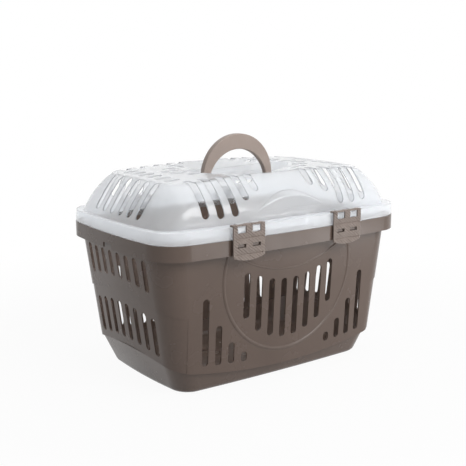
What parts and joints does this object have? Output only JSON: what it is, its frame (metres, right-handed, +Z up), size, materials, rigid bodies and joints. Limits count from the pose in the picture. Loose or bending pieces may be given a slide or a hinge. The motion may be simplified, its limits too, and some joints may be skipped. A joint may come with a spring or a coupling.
{
  "type": "pet carrier",
  "caption": "Top-opening pet carrier: slotted plastic tub, clear domed lid held by swinging side clips, and an arched carry handle.",
  "frame": {"origin": "middle of the footprint on the ground, under the tub", "axes": "+X along the length, -Y to the front with the two opening clips, +Z up"},
  "size_m": [0.49, 0.3304, 0.38],
  "materials": {
    "tub_plastic": "satin moulded, taupe brown",
    "clear_plastic": "glossy, clear and faintly milky",
    "handle_plastic": "satin moulded, lighter taupe",
    "clip_plastic": "satin with a fine diagonal texture, taupe"
  },
  "bodies": {
    "base": {"base_tub": "tub_plastic"},
    "lid": {"lid_shell": "clear_plastic", "carry_handle": "handle_plastic"},
    "front_clip_left": {"front_clip_left": "clip_plastic"},
    "front_clip_right": {"front_clip_right": "clip_plastic"},
    "rear_clip_left": {"rear_clip_left": "clip_plastic"},
    "rear_clip_right": {"rear_clip_right": "clip_plastic"}
  },
  "joints": [
    {"name": "lid_hinge", "type": "hinge", "parent": "base", "child": "lid", "pos_m": [0, 0.157, 0.2639], "axis": [-1, 0, 0], "range_deg": [0, 95]},
    {"name": "front_clip_left_swing", "type": "hinge", "parent": "lid", "child": "front_clip_left", "pos_m": [-0.098, -0.157, 0.2639], "axis": [-1, 0, 0], "range_deg": [0, 110]},
    {"name": "front_clip_right_swing", "type": "hinge", "parent": "lid", "child": "front_clip_right", "pos_m": [0.098, -0.157, 0.2639], "axis": [-1, 0, 0], "range_deg": [0, 110]},
    {"name": "rear_clip_left_swing", "type": "hinge", "parent": "base", "child": "rear_clip_left", "pos_m": [-0.098, 0.157, 0.2639], "axis": [1, 0, 0], "range_deg": [0, 75]},
    {"name": "rear_clip_right_swing", "type": "hinge", "parent": "base", "child": "rear_clip_right", "pos_m": [0.098, 0.157, 0.2639], "axis": [1, 0, 0], "range_deg": [0, 75]}
  ]
}
